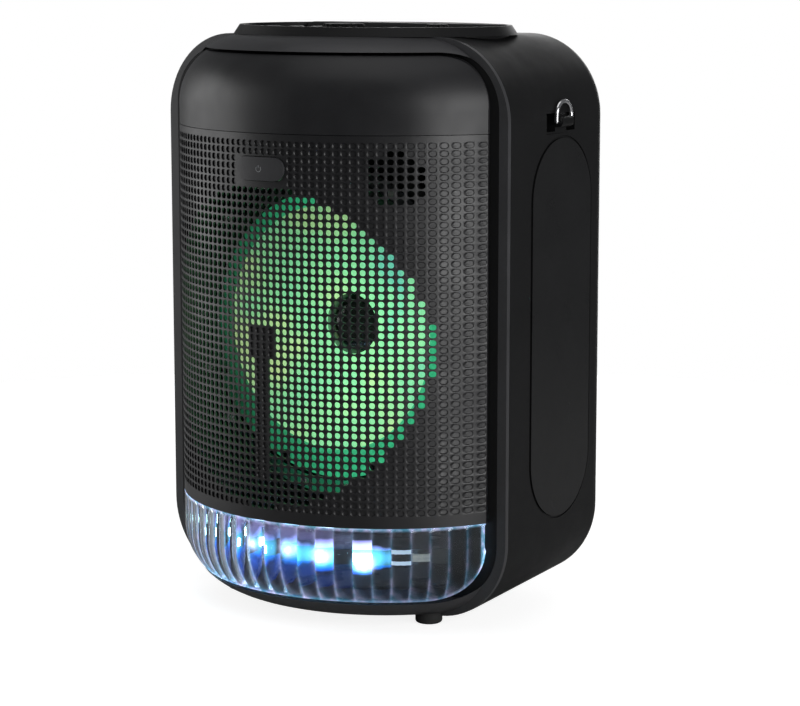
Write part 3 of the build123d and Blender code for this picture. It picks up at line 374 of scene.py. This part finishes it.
def clear_lens():
    """Clear moulded acrylic, with painted light: a glow in the rib valleys, the frosted wedges and the
    rims, brighter to the left, and painted highlights where it catches a lamp.
    """
    material, tree, shader = new_material("clear_lens")
    coords = object_coords(tree)
    x, z = split_xz(tree, coords)
    rib_glow = add(tree, "ShaderNodeAttribute", attribute_name="rib_glow")
    wave = noise(tree, coords, 7.0, detail=2.0)
    # painted light: the glow is brighter to the left and along the right and top edges
    side = remap(tree, x, -0.11, 0.06, 0.85, 0.24)
    right_edge = remap(tree, x, 0.117, 0.121, 0.0, 1.0)
    top_edge = remap(tree, z, 0.0690, 0.0705, 0.0, 0.9)
    edges = calc(tree, "MAXIMUM", right_edge, top_edge)
    side = calc(tree, "MAXIMUM", side, edges)
    frost_glow = add(tree, "ShaderNodeAttribute", attribute_name="frost_glow")
    frost_glow_strength = calc(tree, "MULTIPLY", frost_glow.outputs["Fac"], remap(tree, x, -0.10, 0.10, 0.62, 0.10))
    power = calc(tree, "ADD", calc(tree, "MULTIPLY", rib_glow.outputs["Fac"], side), frost_glow_strength)
    power = calc(tree, "MULTIPLY", power, remap(tree, wave, 0.35, 0.65, 0.4, 1.0))
    # painted highlights where the lens catches a lamp
    for glow_x, glow_z, strength in LENS_GLOWS:
        reach = distance_from(tree, x, z, glow_x, glow_z)
        glow = calc(tree, "POWER", remap(tree, reach, 0.0, GLOW_REACH, 1.0, 0.0), 3.0)
        power = calc(tree, "ADD", power, calc(tree, "MULTIPLY", glow, strength))
    feed(tree, shader, "Emission Strength", power)
    colours = ramp(tree, wave, [(0.35, (0.16, 0.62, 0.95)), (0.6, (0.55, 0.58, 0.92))])
    feed(tree, shader, "Emission Color", colours)
    feed(tree, shader, "Roughness", vary(tree, wave, 0.02, 0.08))
    feed(tree, shader, "Normal", bump(tree, wave, 0.15, strength=0.4))
    shader.inputs["Base Color"].default_value = (0.93, 0.97, 1.0, 1.0)
    shader.inputs["Transmission Weight"].default_value = 1.0
    shader.inputs["IOR"].default_value = 1.46
    return material


def board_material():
    """The light boards: dark, pale bars at the connector end with a painted glow, painted light round the
    lit packages, and painted green light low on the ring.
    """
    material, tree, shader = new_material("white_board")
    coords = object_coords(tree)
    x, z = split_xz(tree, coords)
    grain = noise(tree, coords, 1.0)
    dark = two_tone(tree, grain, (0.010, 0.014, 0.018), (0.022, 0.028, 0.034))
    near = remap(tree, x, 0.066, 0.068, 0.0, 1.0)
    far = remap(tree, x, 0.082, 0.084, 1.0, 0.0)
    from_middle = calc(tree, "ABSOLUTE", calc(tree, "SUBTRACT", z, LED_Z * 0.001))
    bars = calc(tree, "GREATER_THAN", from_middle, 0.0024)
    pale = calc(tree, "MULTIPLY", calc(tree, "MULTIPLY", near, far), bars)
    pale = calc(tree, "MULTIPLY", pale, remap(tree, z, 0.069, 0.070, 1.0, 0.0))
    # painted light: blue light round the lit packages, a glow on the pale bars, and green light low on
    # the ring board, fading to the left and upwards
    halo = led_halo(tree, x, z, 0.5)
    feed(tree, shader, "Base Color", mix_colour(tree, pale, dark, (0.55, 0.62, 0.70)))
    on_ring = calc(tree, "GREATER_THAN", z, 0.075)
    ring = calc(tree, "MULTIPLY", on_ring, remap(tree, x, -0.05, 0.02, 0.0, 0.30))
    ring = calc(tree, "MULTIPLY", ring, remap(tree, z, 0.11, 0.17, 1.0, 0.0))
    lens_light = mix_colour(tree, pale, (0.10, 0.60, 1.0), (0.45, 0.60, 0.75))
    feed(tree, shader, "Emission Color", mix_colour(tree, on_ring, lens_light, (0.04, 0.60, 0.28)))
    power = calc(tree, "ADD", calc(tree, "ADD", halo, ring), calc(tree, "MULTIPLY", pale, 0.6))
    feed(tree, shader, "Emission Strength", power)
    feed(tree, shader, "Roughness", vary(tree, grain, 0.35, 0.5))
    return material


def window_material(name, colour, rough):
    material, tree, shader = new_material(name)
    coords = object_coords(tree)
    wave = noise(tree, coords, 20.0, detail=2.0)
    feed(tree, shader, "Base Color", two_tone(tree, wave, scaled(colour, 0.8), scaled(colour, 1.2)))
    feed(tree, shader, "Roughness", vary(tree, wave, rough, rough * 1.8))
    shader.inputs["Coat Weight"].default_value = 0.6
    return material


def cloth(name, low, high, size_mm, rough):
    """Woven or flecked matt surfaces: spider cloth, board laminate, ferrite, battery sleeve."""
    material, tree, shader = new_material(name)
    coords = object_coords(tree)
    grain = noise(tree, coords, size_mm, detail=5.0)
    feed(tree, shader, "Base Color", two_tone(tree, grain, low, high))
    feed(tree, shader, "Roughness", vary(tree, grain, rough - 0.1, min(rough + 0.1, 1.0)))
    feed(tree, shader, "Normal", bump(tree, grain, 0.04))
    return material


BLACK = (0.0062, 0.0062, 0.0066)
PLASTICS = {
    # name: colour, roughness, grain in mm, depth of the grain in mm, specular level, coat
    "black_texture_plastic": (BLACK, 0.5, 0.7, 0.05, 0.25, 0.0),
    "black_satin_plastic": (BLACK, 0.34, 0.5, 0.012, 0.4, 0.0),
    "grille_plastic": ((0.0085, 0.0083, 0.0096), 0.42, 0.4, 0.02, 0.5, 0.0),
    "grey_button_plastic": ((0.012, 0.012, 0.013), 0.45, 0.4, 0.015, 0.4, 0.0),
    "knob_plastic": ((0.005, 0.005, 0.0055), 0.6, 0.5, 0.02, 0.15, 0.0),
    "panel_gloss": ((0.008, 0.008, 0.009), 0.12, 1.2, 0.003, 0.4, 0.5),
    "gloss_cap": ((0.012, 0.014, 0.013), 0.10, 3.0, 0.004, 0.4, 0.8),
    "black_steel": ((0.02, 0.02, 0.021), 0.4, 0.8, 0.02, 0.4, 0.0),
    # the bezel has a satin finish and a lighter colour than the black plastic, which paints in the
    # highlight the bezel catches
    "bezel_satin_painted_highlight": ((0.042, 0.042, 0.045), 0.42, 0.5, 0.012, 0.6, 0.0),
    "cap_satin": ((0.014, 0.014, 0.0155), 0.42, 0.5, 0.012, 0.4, 0.0),
    "power_key": ((0.040, 0.040, 0.043), 0.4, 0.4, 0.012, 0.4, 0.0),
    "icon_print": ((0.30, 0.31, 0.32), 0.5, 0.3, 0.004, 0.4, 0.0),
}
CLOTHS = {
    # name: darker colour, lighter colour, grain in mm, roughness
    "circuit_board": ((0.01, 0.07, 0.03), (0.02, 0.13, 0.06), 2.5, 0.45),
    "black_rubber": ((0.010, 0.010, 0.010), (0.022, 0.022, 0.022), 0.8, 0.8),
    "spider_cloth": ((0.35, 0.24, 0.10), (0.60, 0.45, 0.22), 0.7, 0.85),
    "ferrite": ((0.04, 0.04, 0.045), (0.08, 0.08, 0.085), 1.5, 0.6),
    "battery_wrap": ((0.02, 0.09, 0.32), (0.04, 0.15, 0.46), 6.0, 0.35),
}
finishes = {
    "clear_lens": clear_lens(),
    "smoked_window": window_material("smoked_window", (0.012, 0.012, 0.016), 0.06),
    "reflector_plastic": glow_reflector(),
    "white_board": board_material(),
    "led_package": led_material(),
    "cone_paper": cone_material(),
    "surround_rubber_painted_glow": lit_black("surround_rubber_painted_glow", 1.0),
    "lit_frame": lit_black("lit_frame", 0.0),
    "copper_wire": metal("copper_wire", (0.72, 0.38, 0.2), 0.3, stretch=(1, 40, 1)),
    "zinc_steel": metal("zinc_steel", (0.55, 0.55, 0.56), 0.35),
    "chrome_wire": metal("chrome_wire", (0.80, 0.80, 0.82), 0.10, tarnish=0.12),
    "cast_aluminium": metal("cast_aluminium", (0.60, 0.60, 0.60), 0.4),
}
finishes |= {name: plastic(name, *values) for name, values in PLASTICS.items()}
finishes |= {name: cloth(name, *values) for name, values in CLOTHS.items()}


def finish_of(node):
    """The record's slot of a CAD node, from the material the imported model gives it."""
    return node.data.materials[0].name.split(".")[0]


# nodes whose look differs from the rest of their slot
OWN_FINISHES = {
    "woofer_surround": "surround_rubber_painted_glow",
    "woofer_frame": "lit_frame",
    "front_bezel": "bezel_satin_painted_highlight",
    "front_cap": "cap_satin",
    "power_button": "power_key",
}
for name, node in nodes.items():
    material = finishes[OWN_FINISHES.get(name, finish_of(node))]
    node.data.materials.clear()
    node.data.materials.append(material)


# ---------------------------------------------------------------- mesh helpers
def mesh_object(name, points, faces, finish, body, smooth_angle=35.0):
    """A mesh from points in millimetres, finished and riding on a body."""
    mesh = bpy.data.meshes.new(name)
    mesh.from_pydata([mm(*p) for p in points], [], faces)
    mesh.validate()
    mesh.shade_smooth()
    mesh.set_sharp_from_angle(angle=math.radians(smooth_angle))
    mesh.materials.append(finishes[finish])
    piece = bpy.data.objects.new(name, mesh)
    bpy.context.scene.collection.objects.link(piece)
    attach(piece, body)
    return piece


# ---------------------------------------------------------------- grille
BRIDGE = (8.0, 182.0, 200.0)      # closed cells before the dust cap: half width, low and high
STEM = (3.0, 99.0, 183.0)         # the closed column under them
TWEETER_X0 = 72.5                 # first column of the patch in front of the small driver
TWEETER_Z0 = 312.5                # its top row
TWEETER_ROWS = ((2, 3), (0, 4), (0, 5), (0, 5), (0, 5), (0, 5), (1, 4))   # first and last open column


def in_strip(x, z, strip):
    """Whether x, z lies in a strip round the middle: half width, low and high."""
    half, low, high = strip
    return abs(x) < half and low < z < high


def is_open(x, z):
    """Whether the cell at x, z is a hole right through to the drivers."""
    if in_strip(x, z, BRIDGE) or in_strip(x, z, STEM):
        return False
    if math.hypot(x, z - FIELD_Z) < FIELD_R:
        return True
    column = round((x - TWEETER_X0) / PITCH)
    row = round((TWEETER_Z0 - z) / PITCH)
    if not 0 <= row < len(TWEETER_ROWS):
        return False
    first, last = TWEETER_ROWS[row]
    return first <= column <= last


def near_pill(x, z):
    x0, x1, z0, z1 = PILL_BOX
    return x0 < x < x1 and z0 < z < z1


class SkinMesh:
    """Points and faces of the grille, with the lattice points shared between cells."""

    def __init__(self):
        self.points = []
        self.faces = []
        self.shared = {}

    def point(self, x, z, depth):
        self.points.append((x, drum_y(x) + depth, z))
        return len(self.points) - 1

    def lattice(self, ix, z, back):
        """A shared point at lattice column ix, on the front or the back skin."""
        key = (ix, round(z * 100), back)
        if key not in self.shared:
            x = -COLUMNS * PITCH / 2 + ix * PITCH / CELL_STEPS
            x = max(-COVER_HALF, min(COVER_HALF, x))
            self.shared[key] = self.point(x, z, GRILLE_WALL if back else 0.0)
        return self.shared[key]

    def box_loop(self, ix0, ix1, z0, z1, back):
        """Shared points round a box of cells, counter-clockwise from its lower left."""
        step = PITCH / CELL_STEPS
        count = round((z1 - z0) / step)
        loop = [self.lattice(ix, z0, back) for ix in range(ix0, ix1)]
        loop += [self.lattice(ix1, z0 + i * step, back) for i in range(count)]
        loop += [self.lattice(ix, z1, back) for ix in range(ix1, ix0, -1)]
        loop += [self.lattice(ix0, z1 - i * step, back) for i in range(count)]
        return loop

    def circle(self, x, z, radius, depth, count):
        """Points round a cell's squarish hole, in step with its box loop."""
        loop = []
        for i in range(count):
            turn = math.radians(-135) + 2 * math.pi * i / count
            c, d = math.cos(turn), math.sin(turn)
            reach = radius / (abs(c) ** HOLE_SQUARE + abs(d) ** HOLE_SQUARE) ** (1 / HOLE_SQUARE)
            loop.append(self.point(x + reach * c, z + reach * d, depth))
        return loop

    def bridge(self, outer, inner):
        """Quads between two loops of the same length."""
        count = len(outer)
        for i in range(count):
            j = (i + 1) % count
            self.faces.append((outer[i], outer[j], inner[j], inner[i]))

    def cell(self, column, x, z):
        """One cell: a hole right through, or a blind recess with a plain back."""
        ix = column * CELL_STEPS
        half = PITCH / 2
        count = 4 * CELL_STEPS
        front = self.box_loop(ix, ix + CELL_STEPS, z - half, z + half, False)
        back = self.box_loop(ix, ix + CELL_STEPS, z - half, z + half, True)
        radius = HOLE_R * (0.82 if column in (0, COLUMNS - 1) else 1.0)
        mouth = self.circle(x, z, radius + HOLE_LIP, 0.0, count)
        lip = self.circle(x, z, radius, HOLE_LIP, count)
        self.bridge(front, mouth)
        self.bridge(mouth, lip)
        if is_open(x, z):
            end = self.circle(x, z, radius, GRILLE_WALL, count)
            self.bridge(lip, end)
            self.bridge(end, back)
        else:
            floor = self.circle(x, z, radius - 0.3, BLIND_DEPTH, count)
            self.bridge(lip, floor)
            self.faces.append(tuple(floor))
            self.faces.append(tuple(reversed(back)))

    def band(self, z0, z1):
        """A plain strip across the grille."""
        for ix in range(COLUMNS * CELL_STEPS):
            a, b = self.lattice(ix, z0, False), self.lattice(ix + 1, z0, False)
            c, d = self.lattice(ix + 1, z1, False), self.lattice(ix, z1, False)
            self.faces.append((a, b, c, d))
            a, b = self.lattice(ix, z0, True), self.lattice(ix + 1, z0, True)
            c, d = self.lattice(ix + 1, z1, True), self.lattice(ix, z1, True)
            self.faces.append((d, c, b, a))

    def edge(self, places):
        """The wall's own thickness along a run of (ix, z) places."""
        for (ix0, z0), (ix1, z1) in zip(places, places[1:]):
            self.faces.append((
                self.lattice(ix0, z0, False), self.lattice(ix0, z0, True),
                self.lattice(ix1, z1, True), self.lattice(ix1, z1, False),
            ))


def pill_point(x, z):
    """The nearest point to x, z on the power button's opening."""
    core = max(-PILL_HALF, min(PILL_HALF, x))
    dx, dz = x - core, z - PILL_Z
    reach = math.hypot(dx, dz)
    return core + dx / reach * PILL_R, PILL_Z + dz / reach * PILL_R


def build_grille():
    """The moulded grille: 50 by 48 cells on the bowed front, with the button's opening."""
    skin = SkinMesh()
    last = COLUMNS * CELL_STEPS
    for row in range(ROWS):
        z = ROW_TOP - PITCH * row
        for column in range(COLUMNS):
            x = -COLUMNS * PITCH / 2 + PITCH * (column + 0.5)
            if not near_pill(x, z):
                skin.cell(column, x, z)
    z_low = ROW_TOP - PITCH * (ROWS - 0.5)
    z_high = ROW_TOP + PITCH / 2
    skin.band(GRILLE_Z0, z_low)
    skin.band(z_high, GRILLE_Z1)
    x0, x1, z0, z1 = PILL_BOX
    ix0 = round((x0 + COLUMNS * PITCH / 2) * CELL_STEPS / PITCH)
    ix1 = round((x1 + COLUMNS * PITCH / 2) * CELL_STEPS / PITCH)
    front = skin.box_loop(ix0, ix1, z0, z1, False)
    back = skin.box_loop(ix0, ix1, z0, z1, True)
    places = [pill_point(skin.points[i][0], skin.points[i][2]) for i in front]
    mouth = [skin.point(x, z, 0.0) for x, z in places]
    end = [skin.point(x, z, GRILLE_WALL) for x, z in places]
    skin.bridge(front, mouth)
    skin.bridge(mouth, end)
    skin.bridge(end, back)
    steps = [z_low + i * PITCH / CELL_STEPS for i in range(ROWS * CELL_STEPS + 1)]
    heights = [GRILLE_Z0] + steps + [GRILLE_Z1]
    skin.edge([(0, z) for z in heights])
    skin.edge([(last, z) for z in reversed(heights)])
    skin.edge([(ix, GRILLE_Z1) for ix in range(last + 1)])
    skin.edge([(ix, GRILLE_Z0) for ix in range(last, -1, -1)])
    piece = mesh_object("grille_skin", skin.points, skin.faces, "grille_plastic", "cabinet", 30.0)
    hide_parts("front_grille")


build_grille()


# ---------------------------------------------------------------- fluted lens
def lens_radius(z):
    """Plan radius of the drum at this height, with its rounded lower rim."""
    drop = max(LENS_EDGE_Z - z, 0.0)
    return FRONT_R - LENS_EDGE + math.sqrt(LENS_EDGE * LENS_EDGE - drop * drop)


def lens_bottom(angle, inset):
    """Height of the lens's lower outline along one flute line."""
    def outside(z):
        x = abs((lens_radius(z) - inset) * math.sin(angle))
        corner_x = COVER_HALF - LENS_CORNER
        corner_z = LENS_Z0 + LENS_CORNER
        if z >= corner_z or x <= corner_x:
            return z < LENS_Z0 + inset
        return math.hypot(x - corner_x, z - corner_z) > LENS_CORNER - inset
    low, high = LENS_Z0 + inset, LENS_TOP - 8.0
    if not outside(low + 1e-4):
        return low
    for _ in range(30):
        middle = (low + high) / 2
        if outside(middle):
            low = middle
        else:
            high = middle
    return high


def build_lens():
    """The clear lens: smooth inside, 24 upright flutes outside, following the rounded base."""
    columns = FLUTES * FLUTE_STEPS
    rows = 26
    widest = math.asin(COVER_HALF / FRONT_R)
    outer, inner, points, rib_glows, frost_glows = [], [], [], [], []
    for i in range(columns + 1):
        angle = -widest + 2 * widest * i / columns
        share = (i % FLUTE_STEPS) / FLUTE_STEPS
        valley = abs(2 * share - 1) ** 2.4
        for side, inset in ((outer, 0.0), (inner, COVER_WALL)):
            z_low = lens_bottom(angle, inset)
            line = []
            for j in range(rows + 1):
                z = z_low + (LENS_TOP - z_low) * (j / rows) ** 1.15
                fade = min(1.0, (z - z_low) / 2.5) * min(1.0, (LENS_TOP - z) / 1.2)
                groove = FLUTE_DEPTH * valley * fade if side is outer else 0.0
                radius = lens_radius(z) - inset - groove
                line.append(len(points))
                points.append((radius * math.sin(angle), Y_AXIS - radius * math.cos(angle), z))
                # The rib and frost attributes hold painted light for the lens's shader: a glow along the
                # flute valleys, the rims and the sides, and in the frosted wedges at the foot of each
                # flute.
                rim = max(0.0, 1 - (z - z_low) / 3.0) * 0.55 + max(0.0, 1 - (LENS_TOP - z) / 1.5)
                side_rim = 1.0 if i >= columns - 2 or i <= 1 else 0.0
                rib_glows.append(min(1.0, valley ** 3 * 0.8 + rim + side_rim) if side is outer else 0.0)
                rise = (z - z_low) / FROST_RISE
                frost_glow = min(1.0, max(0.0, 1.2 * (1.0 - share) - 1.5 * rise) + max(0.0, 0.8 - 5.0 * rise))
                frost_glows.append(frost_glow if side is outer else 0.0)
            side.append(line)
    faces = []
    for i in range(columns):
        for j in range(rows):
            faces.append((outer[i][j], outer[i + 1][j], outer[i + 1][j + 1], outer[i][j + 1]))
            faces.append((inner[i][j], inner[i][j + 1], inner[i + 1][j + 1], inner[i + 1][j]))
        faces.append((outer[i][0], inner[i][0], inner[i + 1][0], outer[i + 1][0]))
        faces.append((outer[i][rows], outer[i + 1][rows], inner[i + 1][rows], inner[i][rows]))
    for j in range(rows):
        faces.append((outer[0][j], outer[0][j + 1], inner[0][j + 1], inner[0][j]))
        faces.append((outer[columns][j], inner[columns][j], inner[columns][j + 1], outer[columns][j + 1]))
    piece = mesh_object("lens_fluted", points, faces, "clear_lens", "cabinet", 40.0)
    for name, values in (("rib_glow", rib_glows), ("frost_glow", frost_glows)):
        attribute = piece.data.attributes.new(name, "FLOAT", "POINT")
        attribute.data.foreach_set("value", values)
    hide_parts("light_lens")


build_lens()


# ---------------------------------------------------------------- power mark
MARK_R = 1.9             # a plain ring with a short bar, generic
MARK_LINE = 0.35
MARK_GAP = 50.0          # half the ring's open angle at its top, degrees
MARK_PROUD = 0.06


def build_power_mark():
    """A generic standby mark printed proud on the power button: an open ring and a bar."""
    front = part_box("power_button")[0][1] * 1000.0 - MARK_PROUD
    points, faces = [], []

    def strip(path):
        """A thin flat-sided line through (x, z) pairs of its two edges."""
        first = len(points)
        for (xa, za), (xb, zb) in path:
            for x, z in ((xa, za), (xb, zb)):
                points.append((x, front, z))
                points.append((x, front + 0.4, z))
        for i in range(len(path) - 1):
            a = first + 4 * i
            b = a + 4
            faces.append((a, a + 2, b + 2, b))
            faces.append((a, b, b + 1, a + 1))
            faces.append((a + 2, a + 3, b + 3, b + 2))
            faces.append((a + 1, b + 1, b + 3, a + 3))
        last = first + 4 * (len(path) - 1)
        faces.append((first, first + 1, first + 3, first + 2))
        faces.append((last, last + 2, last + 3, last + 1))

    ring = []
    for i in range(33):
        turn = math.radians(90 + MARK_GAP + (360 - 2 * MARK_GAP) * i / 32)
        c, d = math.cos(turn), math.sin(turn)
        inner, outer = MARK_R - MARK_LINE / 2, MARK_R + MARK_LINE / 2
        ring.append(((inner * c, PILL_Z + inner * d), (outer * c, PILL_Z + outer * d)))
    strip(ring)
    half = MARK_LINE / 2
    strip([((-half, PILL_Z + 0.6), (half, PILL_Z + 0.6)), ((-half, PILL_Z + 2.3), (half, PILL_Z + 2.3))])
    mesh_object("power_mark", points, faces, "icon_print", "power_button")


build_power_mark()


# ---------------------------------------------------------------- studio and camera
FLOOR_WHITE = 0.85       # lifts the floor to the backdrop's white, without lighting the object


def build_floor():
    material, tree, shader = new_material("studio_floor")
    coords = object_coords(tree)
    grain = noise(tree, coords, 60.0)
    feed(tree, shader, "Base Color", two_tone(tree, grain, (0.40, 0.40, 0.40), (0.44, 0.44, 0.44)))
    shader.inputs["Roughness"].default_value = 0.9
    shader.inputs["Specular IOR Level"].default_value = 0.1
    shader.inputs["Emission Color"].default_value = (1.0, 1.0, 1.0, 1.0)
    path = add(tree, "ShaderNodeLightPath")
    lift = calc(tree, "MULTIPLY", path.outputs["Is Camera Ray"], FLOOR_WHITE)
    feed(tree, shader, "Emission Strength", lift)
    reach = 950.0
    count = 64
    ring = [(reach * math.cos(2 * math.pi * i / count), reach * math.sin(2 * math.pi * i / count), -0.2)
            for i in range(count)]
    mesh = bpy.data.meshes.new("floor")
    mesh.from_pydata([mm(*p) for p in ring], [], [tuple(range(count))])
    mesh.materials.append(material)
    floor = bpy.data.objects.new("floor", mesh)
    bpy.context.scene.collection.objects.link(floor)


SOFTBOXES = (
    # name, azimuth, distance, height, width, height of the panel (mm), power (W)
    ("key_right", 76.0, 1700.0, 480.0, 900.0, 1200.0, 19.0),
    ("key_left", -72.0, 1600.0, 420.0, 1500.0, 1200.0, 12.0),
    ("rim_back", -160.0, 1800.0, 500.0, 1200.0, 1200.0, 14.0),
    ("top", 10.0, 300.0, 2200.0, 1800.0, 1800.0, 8.0),
)
AIM_Z = 200.0            # the lights point at the middle of the object


def softbox(name, azimuth, distance, height, width, tall, power):
    """An area light at an azimuth round the object, 0 in front and positive to its right."""
    data = bpy.data.lights.new(name, "AREA")
    data.shape = "RECTANGLE"
    data.size = width * 0.001
    data.size_y = tall * 0.001
    data.energy = power
    lamp = bpy.data.objects.new(name, data)
    turn = math.radians(azimuth)
    lamp.location = mm(distance * math.sin(turn), -distance * math.cos(turn), height)
    lamp.rotation_euler = (mm(0, 0, AIM_Z) - lamp.location).to_track_quat("-Z", "Y").to_euler()
    lamp.visible_camera = False
    bpy.context.scene.collection.objects.link(lamp)


def build_world():
    world = bpy.data.worlds.new("studio")
    world.use_nodes = True
    bpy.context.scene.world = world
    tree = world.node_tree
    fill = tree.nodes["Background"]
    fill.inputs["Color"].default_value = (0.96, 0.98, 1.0, 1.0)
    fill.inputs["Strength"].default_value = FILL_STRENGTH
    backdrop = add(tree, "ShaderNodeBackground")
    backdrop.inputs["Color"].default_value = (1.0, 1.0, 1.0, 1.0)
    seen = add(tree, "ShaderNodeMixShader")
    path = add(tree, "ShaderNodeLightPath")
    tree.links.new(path.outputs["Is Camera Ray"], seen.inputs["Fac"])
    tree.links.new(fill.outputs["Background"], seen.inputs[1])
    tree.links.new(backdrop.outputs["Background"], seen.inputs[2])
    tree.links.new(seen.outputs["Shader"], tree.nodes["World Output"].inputs["Surface"])


FILL_STRENGTH = 0.13     # the studio's even light; the backdrop itself looks white
CAMERA_AT = mm(963.9, -1334.8, 430.0)
CAMERA_FORWARD = Vector((-0.5642, 0.8106, -0.1566))
CAMERA_RIGHT = Vector((0.8207, 0.5713, 0.0))
CAMERA_LENS = 110.37     # on a sensor 36 mm wide


def build_camera():
    data = bpy.data.cameras.new("camera")
    data.lens = CAMERA_LENS
    data.sensor_width = 36.0
    data.clip_end = 100.0
    camera = bpy.data.objects.new("camera", data)
    forward = CAMERA_FORWARD.normalized()
    right = (CAMERA_RIGHT - forward * CAMERA_RIGHT.dot(forward)).normalized()
    up = right.cross(forward)
    turn = Matrix((right, up, -forward)).transposed()
    camera.matrix_world = Matrix.Translation(CAMERA_AT) @ turn.to_4x4()
    bpy.context.scene.collection.objects.link(camera)
    bpy.context.scene.camera = camera


build_floor()
for lamp_values in SOFTBOXES:
    softbox(*lamp_values)
build_world()
build_camera()
bpy.context.scene.view_settings.view_transform = "Standard"
